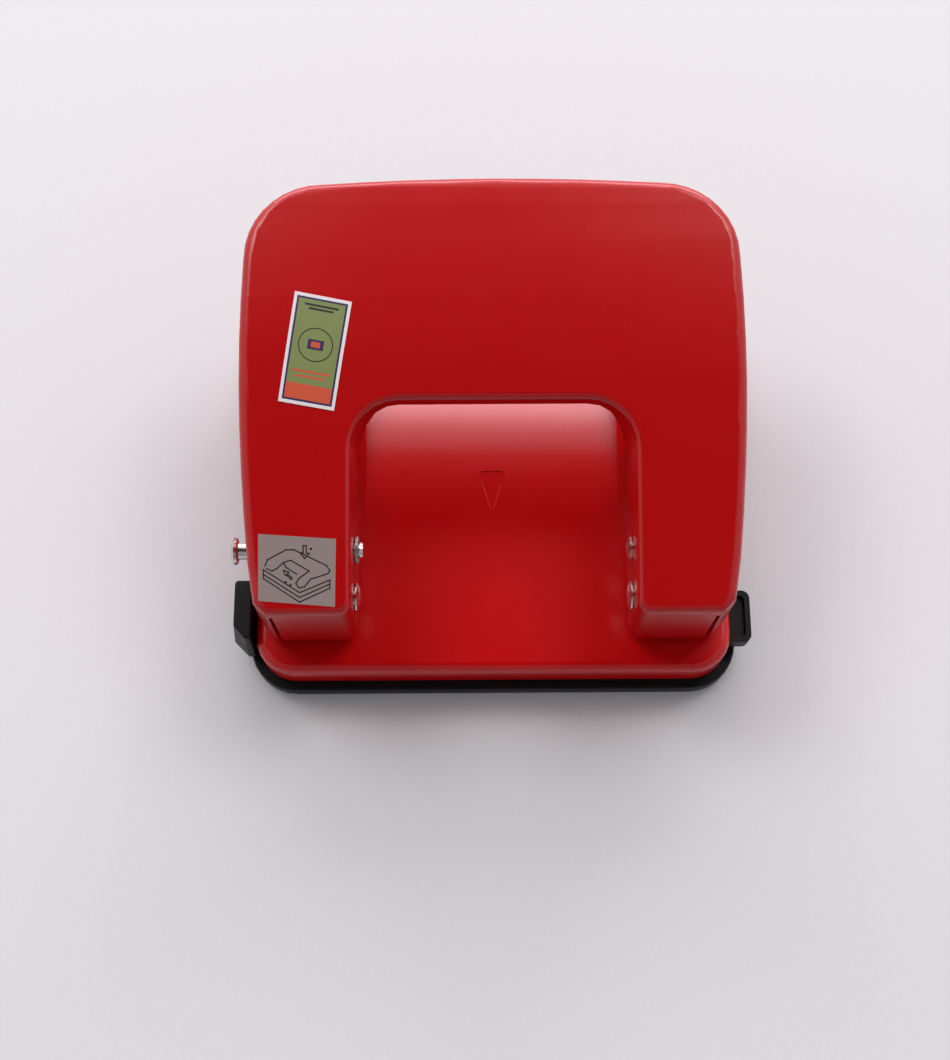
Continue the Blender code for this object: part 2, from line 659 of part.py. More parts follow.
def make_spring(side, name, material):
    """Return spring between the bushing's flange and the punch's clip."""
    wire = SPRING_WIRE / 2
    low = FLANGE_TOP + GAP + wire
    high = CLIP_BOTTOM - GAP - wire
    radius = PUNCH_RADIUS + GAP * 2 + wire
    curve = bpy.data.curves.new("return_spring_" + name, "CURVE")
    curve.dimensions = "3D"
    curve.bevel_depth = wire
    curve.bevel_resolution = 2
    curve.use_fill_caps = True
    steps = int(SPRING_TURNS * 14)
    spline = curve.splines.new("POLY")
    spline.points.add(steps)
    for i, point in enumerate(spline.points):
        angle = 2 * math.pi * SPRING_TURNS * i / steps
        height = low + (high - low) * i / steps
        point.co = (radius * math.cos(angle), radius * math.sin(angle), height, 1)
    spring = bpy.data.objects.new("return_spring_" + name, curve)
    spring.location = (side * HOLE_X, DRIVE_Y, 0)
    add_part(spring, material)


def cross_pin_profile(shank, outer_end, inner_end, head):
    """Pin along X with a flush outer end and a low dome at its inner end, top outwards."""
    return [(0, outer_end), (shank - 0.0003, outer_end), (shank, outer_end - 0.0003), (shank, inner_end),
            (head, inner_end), (head, inner_end - 0.0003),
            (head * 0.72, inner_end - RIVET_HEAD_HEIGHT * 0.8),
            (head * 0.35, inner_end - RIVET_HEAD_HEIGHT), (0, inner_end - RIVET_HEAD_HEIGHT)]


def make_cross_pins(material, joint):
    """Pivot rivets in both legs and the fixed drive pin in the right leg."""
    inner_end = LEG_INNER - GAP
    pivot_end = lever_half_width(PIVOT_Y) - GAP
    drive_end = lever_half_width(DRIVE_Y) - GAP
    head = RIVET_HEAD_DIAMETER / 2
    for side, name in ((-1, "left"), (1, "right")):
        profile = cross_pin_profile(PIVOT_DIAMETER / 2, pivot_end, inner_end, head)
        add_part(turned("pivot_rivet_" + name, profile, (0, PIVOT_Y, PIVOT_Z), side), material, joint)
    profile = cross_pin_profile(DRIVE_DIAMETER / 2, drive_end, inner_end, head * 0.85)
    add_part(turned("drive_rivet_right", profile, (0, DRIVE_Y, DRIVE_Z), 1), material, joint)


def make_lock_pin(material, joint):
    """Sliding lock pin in the left leg, which also drives the left punch, and its clip."""
    shank = DRIVE_DIAMETER / 2
    head = LOCK_HEAD_DIAMETER / 2
    head_low = lever_half_width(DRIVE_Y) + LOCK_TRAVEL + GAP
    head_top = head_low + LOCK_HEAD_HEIGHT
    clip_outer = LEG_INNER - GAP
    clip_inner = clip_outer - CLIP_THICKNESS
    groove = shank - GROOVE_DEPTH
    end = clip_inner - GAP - 0.0006
    profile = [(0, head_top), (head * 0.55, head_top - 0.0001), (head * 0.88, head_top - 0.0004),
               (head, head_top - 0.0008), (head * 0.94, head_low + 0.0003), (shank, head_low),
               (shank, clip_outer + GAP), (groove, clip_outer + GAP), (groove, clip_inner - GAP),
               (shank, clip_inner - GAP), (shank - 0.0002, end), (0, end - 0.0001)]
    place = (0, DRIVE_Y, DRIVE_Z)
    add_part(turned("lock_pin", profile, place, -1), material, joint)
    ring = [(groove + GAP / 2, clip_outer), (shank + 0.0012, clip_outer),
            (shank + 0.0012, clip_inner), (groove + GAP / 2, clip_inner)]
    clip = turned("lock_pin_clip", ring, place, -1, closed=True)
    mouth = box_outline(DRIVE_Y - groove * 0.8, DRIVE_Y + groove * 0.8, DRIVE_Z - CUT_PAST, DRIVE_Z)
    combine(clip, prism_cutter("lock_clip_mouth", mouth, "X", -LEG_INNER - CUT_PAST, CUT_PAST - LEG_INNER))
    add_part(clip, material, joint)


def make_paper_guide(material, joint):
    """Paper guide: a recessed flat bar through the base with a fence at its left end."""
    right = BASE_HALF_WIDTH + GUIDE_END_REACH + TRAY_LIP
    plan = rounded([
        (-FENCE_X, GUIDE_FRONT_Y, 0),
        (right, GUIDE_FRONT_Y, GUIDE_CORNER),
        (right, GUIDE_BACK_Y, GUIDE_CORNER),
        (-FENCE_X, GUIDE_BACK_Y, 0),
    ], 4)
    guide = object_from(prism_bmesh(plan, "Z", GUIDE_BOTTOM, GUIDE_TOP), "paper_guide")
    recess = rounded([
        (-BASE_HALF_WIDTH + 0.004, GUIDE_FRONT_Y + GUIDE_RIM, 0.001),
        (right - GUIDE_RIM, GUIDE_FRONT_Y + GUIDE_RIM, 0.001),
        (right - GUIDE_RIM, GUIDE_BACK_Y - GUIDE_RIM, 0.001),
        (-BASE_HALF_WIDTH + 0.004, GUIDE_BACK_Y - GUIDE_RIM, 0.001),
    ], 3)
    floor = GUIDE_TOP - GUIDE_RECESS
    combine(guide, prism_cutter("guide_recess", recess, "Z", floor, GUIDE_TOP + CUT_PAST))
    combine(guide, fence_block(), "UNION")
    add_part(guide, material, joint)


def fence_block():
    """Upright end of the paper guide: it leans in towards its top and is cut off at the front."""
    inner = -FENCE_X
    outer = inner - FENCE_THICKNESS
    low = SKIRT_BOTTOM + GAP
    back = GUIDE_BACK_Y + (FENCE_LENGTH - GUIDE_WIDTH) / 2
    front = back - FENCE_LENGTH
    plan = rounded([
        (inner, front, 0.0004),
        (inner, back, 0.0004),
        (outer, back, 0.0009),
        (outer, front + FENCE_CHAMFER, 0.0007),
        (outer + FENCE_CHAMFER, front, 0.0007),
    ], 2)
    bm = prism_bmesh(plan, "Z", low, low + FENCE_HEIGHT)
    lean = FENCE_THICKNESS * FENCE_LEAN
    for vert in bm.verts:
        if vert.co.z > low + FENCE_HEIGHT / 2:
            share = (inner - vert.co.x) / FENCE_THICKNESS
            vert.co.x += lean * share
            vert.co.y += (back - FENCE_TAPER_SETBACK - vert.co.y) * FENCE_TAPER
    block = object_from(bm, "fence_block")
    soften(block, 0.0005, 2)
    return add_cutter(block)


def make_guide_strap(side, name, material):
    """Strap welded under the bed that carries the paper guide's bar."""
    low = GUIDE_BOTTOM - GAP - STRAP_THICKNESS
    high = BASE_HEIGHT - SHEET - GAP
    front = GUIDE_FRONT_Y - GAP - STRAP_THICKNESS
    back = GUIDE_BACK_Y + GAP + STRAP_THICKNESS
    thick = STRAP_THICKNESS
    flat_radius = BASE_CORNER - BASE_FOLD
    corner_x = STRAP_OUTER_X - (BASE_HALF_WIDTH - BASE_CORNER)
    flat_reach = math.sqrt(max(flat_radius ** 2 - corner_x ** 2, 0))
    flat_front = BASE_CORNER - BASE_HALF_DEPTH - flat_reach
    tab = max(front - STRAP_FLANGE, flat_front)
    outline = [
        (front, low), (back, low), (back, high - thick), (back + STRAP_FLANGE, high - thick),
        (back + STRAP_FLANGE, high), (back - thick, high), (back - thick, low + thick),
        (front + thick, low + thick), (front + thick, high), (tab, high),
        (tab, high - thick), (front, high - thick),
    ]
    ends = sorted((side * STRAP_INNER_X, side * STRAP_OUTER_X))
    strap = object_from(prism_bmesh(outline, "X", *ends), "guide_strap_" + name)
    add_part(strap, material)


def make_chip_tray(material, joint):
    """Chip tray: rim that shows round the base plate, upstand inside its skirt, hinge knuckles."""
    half_x = BASE_HALF_WIDTH + TRAY_LIP
    half_y = BASE_HALF_DEPTH + TRAY_LIP
    fit = SHEET + GAP
    plan = rounded_rectangle(half_x, half_y, BASE_CORNER + TRAY_LIP, 7)
    tray = object_from(prism_bmesh(plan, "Z", 0, TRAY_RIM_HEIGHT), "chip_tray")
    soften(tray, TRAY_EDGE, 2)
    up_x = BASE_HALF_WIDTH - fit
    up_y = BASE_HALF_DEPTH - fit
    up_plan = rounded_rectangle(up_x, up_y, BASE_CORNER - fit, 5)
    up_top = TRAY_RIM_HEIGHT + TRAY_UPSTAND
    upstand = add_cutter(object_from(prism_bmesh(up_plan, "Z", TRAY_FLOOR / 2, up_top), "upstand"))
    combine(tray, upstand, "UNION")
    wall = TRAY_WALL
    hollow = rounded_rectangle(up_x - wall, up_y - wall, BASE_CORNER - fit - wall, 5)
    combine(tray, prism_cutter("tray_hollow", hollow, "Z", TRAY_FLOOR, up_top + CUT_PAST))
    notch_top = up_top + CUT_PAST
    notch = box_outline(GUIDE_FRONT_Y - GAP * 2, GUIDE_BACK_Y + GAP * 2, GUIDE_BOTTOM - GAP, notch_top)
    combine(tray, prism_cutter("guide_notches", notch, "X", -half_x - CUT_PAST, half_x + CUT_PAST))
    room = STRAP_THICKNESS + GAP * 2
    strap_room = box_outline(GUIDE_FRONT_Y - room, GUIDE_BACK_Y + room, TRAY_RIM_HEIGHT, up_top + CUT_PAST)
    strap_reach = STRAP_OUTER_X + GAP
    combine(tray, prism_cutter("strap_room", strap_room, "X", -strap_reach, strap_reach))
    panel = PANEL_HALF_WIDTH + SHEET + GAP
    rear = box_outline(-panel, panel, 0, half_y + CUT_PAST)
    combine(tray, prism_cutter("panel_notch", rear, "Z", SKIRT_BOTTOM, up_top + CUT_PAST))
    hinge = hinge_place()
    for side, name in ((-1, "left"), (1, "right")):
        centre = (side * HINGE_KNUCKLE_X, *hinge)
        knuckle = rod_cutter("knuckle_" + name, centre, HINGE_KNUCKLE_RADIUS, HINGE_KNUCKLE_LENGTH, "X", 16)
        combine(tray, knuckle, "UNION")
    add_part(tray, material, joint)


def hinge_place():
    """Y and Z of the chip tray's hinge, on its rim behind the base plate."""
    return BASE_HALF_DEPTH + GAP + HINGE_KNUCKLE_RADIUS, TRAY_RIM_HEIGHT


def joint_empty(name, place):
    """Empty on a joint's axis, which carries the pieces that move with it."""
    empty = bpy.data.objects.new(name, None)
    empty.location = place
    empty.empty_display_size = 0.01
    parts.objects.link(empty)
    return empty


def build():
    """Make every piece of the punch."""
    for obj in list(bpy.data.objects):
        bpy.data.objects.remove(obj, do_unlink=True)
    bpy.context.scene.collection.children.link(parts)
    bpy.context.scene.collection.children.link(cutters)

    red = material_for("red_paint", RED_PAINT)
    black = material_for("black_plastic", BLACK_PLASTIC)
    bright = material_for("bright_steel", BRIGHT_STEEL)
    zinc = material_for("zinc_steel", ZINC_STEEL)
    tool = material_for("tool_steel", TOOL_STEEL)

    lever_axis = joint_empty("lever_axis", (0, PIVOT_Y, PIVOT_Z))
    lock_axis = joint_empty("lock_axis", (0, DRIVE_Y, DRIVE_Z))
    attach(lock_axis, lever_axis)
    guide_axis = joint_empty("guide_axis", (0, (GUIDE_FRONT_Y + GUIDE_BACK_Y) / 2, GUIDE_BOTTOM))
    tray_axis = joint_empty("tray_axis", (0, *hinge_place()))

    make_base_plate(red)
    make_lever(red, lever_axis)
    make_cross_pins(bright, lever_axis)
    make_lock_pin(bright, lock_axis)
    make_paper_guide(black, guide_axis)
    make_chip_tray(black, tray_axis)
    for side, name in ((-1, "left"), (1, "right")):
        punch_axis = joint_empty("punch_axis_" + name, (side * HOLE_X, DRIVE_Y, PUNCH_TOP))
        make_frame(side, name, zinc)
        make_frame_rivets(side, name, bright)
        make_bushing(side, name, zinc)
        make_die(side, name, tool)
        make_punch(side, name, tool, punch_axis)
        make_clip(side, name, zinc, punch_axis)
        make_spring(side, name, bright)
        make_guide_strap(side, name, zinc)


build()
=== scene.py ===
import math

import bmesh
import bpy
from mathutils import Matrix, Vector


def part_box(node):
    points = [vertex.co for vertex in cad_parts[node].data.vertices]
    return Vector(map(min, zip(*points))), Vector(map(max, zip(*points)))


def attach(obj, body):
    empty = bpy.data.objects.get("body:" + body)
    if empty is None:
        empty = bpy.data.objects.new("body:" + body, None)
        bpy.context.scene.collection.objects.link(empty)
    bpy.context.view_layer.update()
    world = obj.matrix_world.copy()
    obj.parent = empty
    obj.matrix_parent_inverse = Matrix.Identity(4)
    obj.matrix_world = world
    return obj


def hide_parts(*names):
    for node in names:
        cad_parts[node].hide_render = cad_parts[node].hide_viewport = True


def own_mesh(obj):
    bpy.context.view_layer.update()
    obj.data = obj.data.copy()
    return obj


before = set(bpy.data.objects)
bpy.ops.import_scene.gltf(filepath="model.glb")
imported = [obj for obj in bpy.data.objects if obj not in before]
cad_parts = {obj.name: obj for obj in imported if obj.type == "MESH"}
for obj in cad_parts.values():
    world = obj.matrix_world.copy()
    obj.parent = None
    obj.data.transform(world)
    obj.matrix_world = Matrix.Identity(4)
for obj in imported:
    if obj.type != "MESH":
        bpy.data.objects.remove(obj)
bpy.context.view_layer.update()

MM = 0.001
scene = bpy.context.scene


def corner(node, high):
    """Low or high corner of a CAD node's box, in millimetres."""
    return [round(value / MM, 4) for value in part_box(node)[high]]


def middle(node):
    """Middle of a CAD node's box, in millimetres."""
    return [round((low + high) / 2 / MM, 4) for low, high in zip(*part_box(node))]


# Places on the frame, in millimetres; the first two are the Y and Z of a cross pin
PIVOT = middle("pivot_rivet_right")[1:]
DRIVE = middle("drive_rivet_right")[1:]
HOLE_X = middle("punch_right")[0]
NOSE_Y = corner("lever", 0)[1]
BED_TOP = corner("base_plate", 1)[2]

# Sizes that the looks share with the CAD, in millimetres
LEVER_FRONT_TOP = 39.5
LEVER_SLOPE = 0.2476
LEVER_CURVE = 0.00183
LEVER_CURVE_START = 39.3
PANEL_RADIUS = 95.0
SPRING_LOW, SPRING_HIGH = 18.4, 26.28
SPRING_RADIUS, SPRING_WIRE = 3.85, 0.35
SPRING_TURNS, SPRING_FLAT_TURNS = 5.0, 0.75
STEPS_PER_TURN = 56
PIVOT_END_X, DRIVE_END_X = 50.9, 51.7

# Arrow bead, in millimetres, and where its path begins to fall
BEAD_RADIUS, BEAD_FLATNESS, BEAD_ROUNDING = 0.26, 0.75, 0.6
BEAD_LIFT = 0.02
BEAD_FALL_START = -17.12

# Heights of a label's layers over the lever, in millimetres
PAPER_LIFT, BORDER_LIFT, FIELD_LIFT, BAND_LIFT = 0.06, 0.066, 0.072, 0.078
RING_LIFT, BADGE_LIFT, STROKE_LIFT = 0.079, 0.082, 0.081
DRAWING_LIFT, DOT_LIFT = 0.068, 0.069
LABEL_FOOT = 0.005

FOLD_LIMIT = math.radians(34.0)
LIGHT_AIM = (0, 0, 0.01)


# ---------------------------------------------------------------- materials
def principled(name):
    """New material with its tree and its Principled shader."""
    material = bpy.data.materials.new(name)
    material.use_nodes = True
    tree = material.node_tree
    return material, tree, tree.nodes["Principled BSDF"]


def noise(tree, scale, detail=2.0, stretch=(1, 1, 1)):
    """Noise on object coordinates, scale in cells per metre."""
    coord = tree.nodes.new("ShaderNodeTexCoord")
    mapping = tree.nodes.new("ShaderNodeMapping")
    mapping.inputs["Scale"].default_value = stretch
    texture = tree.nodes.new("ShaderNodeTexNoise")
    texture.inputs["Scale"].default_value = scale
    texture.inputs["Detail"].default_value = detail
    tree.links.new(coord.outputs["Object"], mapping.inputs["Vector"])
    tree.links.new(mapping.outputs["Vector"], texture.inputs["Vector"])
    return texture.outputs["Fac"]


def remap(tree, value, low, high, from_low=0.3, from_high=0.7):
    """Value spread over a range."""
    node = tree.nodes.new("ShaderNodeMapRange")
    node.inputs["From Min"].default_value = from_low
    node.inputs["From Max"].default_value = from_high
    node.inputs["To Min"].default_value = low
    node.inputs["To Max"].default_value = high
    tree.links.new(value, node.inputs["Value"])
    return node.outputs["Result"]


def bump(tree, value, depth, before=None):
    """Bump of a depth in metres, on top of an earlier one."""
    node = tree.nodes.new("ShaderNodeBump")
    node.inputs["Strength"].default_value = 1.0
    node.inputs["Distance"].default_value = depth
    tree.links.new(value, node.inputs["Height"])
    if before is not None:
        tree.links.new(before, node.inputs["Normal"])
    return node.outputs["Normal"]


def tinted(tree, value, dark, light):
    """Colour between two colours."""
    node = tree.nodes.new("ShaderNodeMix")
    node.data_type = "RGBA"
    node.inputs["A"].default_value = (*dark, 1)
    node.inputs["B"].default_value = (*light, 1)
    tree.links.new(value, node.inputs["Factor"])
    return node.outputs["Result"]


def paint(name, dark, light, roughness, peel):
    """Satin powder coat: orange peel, slow colour drift, uneven gloss."""
    material, tree, shader = principled(name)
    drift = remap(tree, noise(tree, 14, 2), 0, 1)
    coat = tinted(tree, drift, dark, light)
    speck = remap(tree, noise(tree, 1400, 2), 0, 0.22, 0.74, 0.80)
    dusty = tree.nodes.new("ShaderNodeMix")
    dusty.data_type = "RGBA"
    dusty.inputs["B"].default_value = (0.60, 0.24, 0.22, 1)
    tree.links.new(coat, dusty.inputs["A"])
    tree.links.new(speck, dusty.inputs["Factor"])
    tree.links.new(dusty.outputs["Result"], shader.inputs["Base Color"])
    gloss = remap(tree, noise(tree, 60, 2), roughness - 0.006, roughness + 0.008)
    tree.links.new(gloss, shader.inputs["Roughness"])
    coarse = bump(tree, noise(tree, 950, 1), peel)
    fine = bump(tree, noise(tree, 2600, 2), peel * 0.16, coarse)
    tree.links.new(fine, shader.inputs["Normal"])
    shader.inputs["IOR"].default_value = 1.5
    return material


def plastic(name, colour, roughness, grain):
    """Moulded plastic with a fine spark-eroded grain."""
    material, tree, shader = principled(name)
    light = tuple(c * 1.5 for c in colour)
    drift = remap(tree, noise(tree, 90, 3), 0, 1)
    tree.links.new(tinted(tree, drift, colour, light), shader.inputs["Base Color"])
    gloss = remap(tree, noise(tree, 500, 3), roughness - 0.05, roughness + 0.06)
    tree.links.new(gloss, shader.inputs["Roughness"])
    tree.links.new(bump(tree, noise(tree, 5200, 2), grain), shader.inputs["Normal"])
    shader.inputs["Specular IOR Level"].default_value = 0.22
    return material


def metal(name, dark, light, roughness, scratch, stretch=(1, 1, 1)):
    """Plated or ground steel with faint scratches and stains."""
    material, tree, shader = principled(name)
    shader.inputs["Metallic"].default_value = 1.0
    stain = remap(tree, noise(tree, 300, 4), 0, 1)
    tree.links.new(tinted(tree, stain, dark, light), shader.inputs["Base Color"])
    gloss = remap(tree, noise(tree, 1500, 3, stretch), roughness - 0.05, roughness + 0.08)
    tree.links.new(gloss, shader.inputs["Roughness"])
    tree.links.new(bump(tree, noise(tree, 3200, 3, stretch), scratch), shader.inputs["Normal"])
    return material


def printed(name, colour, roughness=0.5):
    """Ink on a paper label, with a little fibre grain."""
    material, tree, shader = principled(name)
    dark = tuple(c * 0.9 for c in colour)
    fibre = remap(tree, noise(tree, 3000, 2), 0, 1)
    tree.links.new(tinted(tree, fibre, dark, colour), shader.inputs["Base Color"])
    shader.inputs["Roughness"].default_value = roughness
    return material


red = paint("red_powder_coat", (0.425, 0.0004, 0.0010), (0.440, 0.0008, 0.0016), 0.27, 0.000006)
# The bed's coat is a lighter, slightly pinker copy of the lever's red paint: painted light that offsets
# the lever's shade on the bed, plus a faint painted sheen.
red_bed_painted_light = paint("red_powder_coat_bed_painted_light", (0.515, 0.0010, 0.0022), (0.540, 0.0014, 0.0030),
                0.235, 0.000009)
black = plastic("black_moulded", (0.0026, 0.0026, 0.0031), 0.46, 0.000003)
nickel = metal("nickel_plate", (0.60, 0.56, 0.52), (0.78, 0.74, 0.70), 0.20, 0.000002)
zinc = metal("zinc_plate", (0.42, 0.43, 0.45), (0.56, 0.57, 0.58), 0.36, 0.000003)
tool = metal("ground_steel", (0.30, 0.30, 0.31), (0.44, 0.44, 0.45), 0.26, 0.000002, (1, 1, 14))
paper_white = printed("label_white", (0.80, 0.76, 0.77))
label_green = printed("label_green", (0.205, 0.245, 0.075))
label_orange = printed("label_orange", (0.62, 0.085, 0.030))
label_navy = printed("label_navy", (0.020, 0.012, 0.085))
label_grey = printed("label_grey", (0.300, 0.235, 0.215), 0.42)
ink = printed("label_ink", (0.012, 0.010, 0.012))


# ---------------------------------------------------------------- CAD pieces made smooth
def smooth_group(vert, first, left):
    """Faces round a corner that meet the first one smoothly; they are taken out of left."""
    group, reached = [], [first]
    while reached:
        face = reached.pop()
        group.append(face)
        for edge in face.edges:
            if vert not in edge.verts or len(edge.link_faces) != 2 or edge.calc_face_angle(9) > FOLD_LIMIT:
                continue
            for other in edge.link_faces:
                if other in left:
                    left.discard(other)
                    reached.append(other)
    return group


def weighted_corners(mesh):
    """Normal of every face corner, from the faces that meet it smoothly, each by its area."""
    bm = bmesh.new()
    bm.from_mesh(mesh)
    normal_at = {}
    for vert in bm.verts:
        left = set(vert.link_faces)
        while left:
            group = smooth_group(vert, left.pop(), left)
            total = sum((face.normal * face.calc_area() for face in group), Vector())
            for face in group:
                shared = total.normalized() if total.length > 1e-16 else face.normal.copy()
                normal_at[face.index, vert.index] = shared
    normals = [normal_at[face.index, loop.vert.index] for face in bm.faces for loop in face.loops]
    bm.free()
    return normals


def smooth_copy(node, body, material):
    """Merged copy of a CAD node with area-weighted normals, shown in its place."""
    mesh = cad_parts[node].data.copy()
    mesh.name = node + "_look"
    bm = bmesh.new()
    bm.from_mesh(mesh)
    bmesh.ops.remove_doubles(bm, verts=bm.verts, dist=1e-6)
    bmesh.ops.dissolve_degenerate(bm, edges=bm.edges, dist=1e-7)
    bmesh.ops.dissolve_limit(bm, angle_limit=math.radians(0.4), verts=bm.verts, edges=bm.edges)
    bmesh.ops.triangulate(bm, faces=bm.faces)
    for face in bm.faces:
        face.smooth = True
    bm.to_mesh(mesh)
    bm.free()
    mesh.materials.clear()
    mesh.materials.append(material)
    for polygon in mesh.polygons:
        polygon.material_index = 0
    mesh.normals_split_custom_set(weighted_corners(mesh))
    piece = bpy.data.objects.new(node + "_look", mesh)
    scene.collection.objects.link(piece)
    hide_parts(node)
    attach(piece, body)
    return piece


LOOKS = {
    # The base plate wears the lighter copy of the red paint, which carries painted light that offsets the
    # lever's shade.
    "base": {"base_plate": (red_bed_painted_light, "red_paint"),
             "punch_frame_left": (zinc, "zinc_steel"), "punch_frame_right": (zinc, "zinc_steel"),
             "guide_bushing_left": (zinc, "zinc_steel"), "guide_bushing_right": (zinc, "zinc_steel"),
             "guide_strap_left": (zinc, "zinc_steel"), "guide_strap_right": (zinc, "zinc_steel"),
             "die_left": (tool, "tool_steel"), "die_right": (tool, "tool_steel"),
             "frame_rivet_left_front": (nickel, "bright_steel"),
             "frame_rivet_left_rear": (nickel, "bright_steel"),
             "frame_rivet_right_front": (nickel, "bright_steel"),
             "frame_rivet_right_rear": (nickel, "bright_steel")},
    "lever": {"lever": (red, "red_paint"),
              "pivot_rivet_left": (nickel, "bright_steel"), "pivot_rivet_right": (nickel, "bright_steel"),
              "drive_rivet_right": (nickel, "bright_steel")},
    "lock_pin": {"lock_pin": (nickel, "bright_steel"), "lock_pin_clip": (zinc, "zinc_steel")},
    "punch_left": {"punch_left": (tool, "tool_steel"), "punch_clip_left": (zinc, "zinc_steel")},
    "punch_right": {"punch_right": (tool, "tool_steel"), "punch_clip_right": (zinc, "zinc_steel")},
    "paper_guide": {"paper_guide": (black, "black_plastic")},
    "chip_tray": {"chip_tray": (black, "black_plastic")},
}
for body, nodes in LOOKS.items():
    for node, (material, slot) in nodes.items():
        smooth_copy(node, body, material)


# ---------------------------------------------------------------- new pieces
def finished(bm, name, material, body, smooth=True):
    """Object at the origin from a bmesh in millimetres, riding on a body."""
    bmesh.ops.scale(bm, vec=(MM, MM, MM), verts=bm.verts)
    bmesh.ops.recalc_face_normals(bm, faces=bm.faces)
    for face in bm.faces:
        face.smooth = smooth
    mesh = bpy.data.meshes.new(name)
    bm.to_mesh(mesh)
    bm.free()
    mesh.materials.append(material)
    piece = bpy.data.objects.new(name, mesh)
    scene.collection.objects.link(piece)
    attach(piece, body)
    return piece


def coil(side, name):
    """Return spring as a round wire spun up its axis, with its first and last turns flat."""
    bm = bmesh.new()
    low, high = SPRING_LOW + SPRING_WIRE, SPRING_HIGH - SPRING_WIRE
    section = Matrix.Translation((side * HOLE_X + SPRING_RADIUS, DRIVE[0], low))
    section @= Matrix.Rotation(math.pi / 2, 4, "X")
    bmesh.ops.create_circle(bm, cap_ends=True, segments=10, radius=SPRING_WIRE, matrix=section)
    end, inner = bm.faces[:], []
    for turns, rise in ((SPRING_FLAT_TURNS, 0), (SPRING_TURNS, high - low), (SPRING_FLAT_TURNS, 0)):
        steps = int(turns * STEPS_PER_TURN)
        spun = bmesh.ops.spin(bm, geom=end, cent=(side * HOLE_X, DRIVE[0], low), axis=(0, 0, 1),
                              dvec=(0, 0, rise / steps), angle=math.tau * turns, steps=steps)
        end = [item for item in spun["geom_last"] if isinstance(item, bmesh.types.BMFace)]
        inner += end
    bmesh.ops.delete(bm, geom=inner[:-1], context="FACES_ONLY")
    piece = finished(bm, "return_spring_%s_wire" % name, nickel, "base")
    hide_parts("return_spring_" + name)
    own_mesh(piece)


coil(-1, "left")
coil(1, "right")


def lever_top(y):
    """Height of the lever's top face."""
    along = y - NOSE_Y
    bowed = max(0.0, along - LEVER_CURVE_START)
    return LEVER_FRONT_TOP + LEVER_SLOPE * along - LEVER_CURVE * bowed ** 2


class Label:
    """Flat artwork in label coordinates (0-1 across, 0-1 down) laid on the lever's top."""

    def __init__(self, name, corners):
        self.name, self.count = name, 0
        self.corners = [Vector(c) for c in corners]

    def place(self, u, v, lift):
        """Point on the lever's top for a point of the artwork."""
        top_left, top_right, low_right, low_left = self.corners
        p = top_left.lerp(top_right, u).lerp(low_left.lerp(low_right, u), v)
        return Vector((p.x, p.y, lever_top(p.y) + lift))

    def patch(self, outline, material, lift, divide=1):
        """Thin flat patch with its own edge."""
        bm = bmesh.new()
        face = bm.faces.new([bm.verts.new((u, v, 0)) for u, v in outline])
        if divide > 1:
            bmesh.ops.subdivide_edges(bm, edges=bm.edges, cuts=divide, use_grid_fill=True)
        lifted = bmesh.ops.extrude_face_region(bm, geom=bm.faces[:])
        for vert in (item for item in lifted["geom"] if isinstance(item, bmesh.types.BMVert)):
            vert.co.z = 1
        for vert in bm.verts:
            vert.co = self.place(vert.co.x, vert.co.y, lift if vert.co.z > 0.5 else LABEL_FOOT)
        self.count += 1
        return finished(bm, "%s_%02d" % (self.name, self.count), material, "lever", smooth=False)

    def line(self, points, width, material, lift, closed=False):
        """Inked line of one width in millimetres along points: flat strips, with no thickness."""
        a = self.corners
        wide, tall = (a[1] - a[0]).length, (a[3] - a[0]).length
        pairs = list(zip(points, points[1:]))
        if closed:
            pairs.append((points[-1], points[0]))
        bm = bmesh.new()
        for start, end in pairs:
            start, end = (Vector((u * wide, v * tall)) for u, v in (start, end))
            along = end - start
            if along.length < 1e-6:
                continue
            middle = Matrix.Translation(((start + end) / 2).to_3d())
            turn = Matrix.Rotation(math.atan2(along.y, along.x), 4, "Z")
            size = Matrix.Diagonal(((along.length + width) / 2, width / 2, 1, 1))
            bmesh.ops.create_grid(bm, x_segments=1, y_segments=1, size=1, matrix=middle @ turn @ size)
        for vert in bm.verts:
            vert.co = self.place(vert.co.x / wide, vert.co.y / tall, lift)
        self.count += 1
        return finished(bm, "%s_%02d" % (self.name, self.count), material, "lever")


def frame_box(low_u, low_v, high_u, high_v):
    """Corners of a rectangle in label coordinates."""
    return [(low_u, low_v), (high_u, low_v), (high_u, high_v), (low_u, high_v)]


def ellipse(u, v, radius_u, radius_v, count):
    """Points round an ellipse in label coordinates."""
    angles = [math.tau * k / count for k in range(count)]
    return [(u + radius_u * math.cos(a), v + radius_v * math.sin(a)) for a in angles]


maker = Label("maker_label", [(-41.41, 26.79), (-29.43, 24.36), (-33.12, 1.65), (-44.78, 3.76)])
maker.patch(frame_box(0, 0, 1, 1), paper_white, PAPER_LIFT, 10)
maker.patch(frame_box(0.055, 0.030, 0.945, 0.970), label_navy, BORDER_LIFT, 10)
maker.patch(frame_box(0.090, 0.048, 0.910, 0.952), label_green, FIELD_LIFT, 10)
maker.patch(frame_box(0.090, 0.815, 0.910, 0.952), label_orange, BAND_LIFT, 4)
ring = ellipse(0.50, 0.45, 0.30, 0.15, 30)
maker.line(ring, 0.22, ink, RING_LIFT, closed=True)
maker.patch(frame_box(0.36, 0.405, 0.64, 0.495), label_navy, RING_LIFT)
maker.patch(frame_box(0.42, 0.425, 0.58, 0.475), label_orange, BADGE_LIFT)
BARS = ((0.095, 0.22, 0.78, ink), (0.130, 0.30, 0.70, ink),
        (0.700, 0.18, 0.82, label_orange), (0.745, 0.26, 0.74, label_orange))
for v, low_u, high_u, material in BARS:
    maker.line([(low_u, v), (high_u, v)], 0.42, material, STROKE_LIFT)

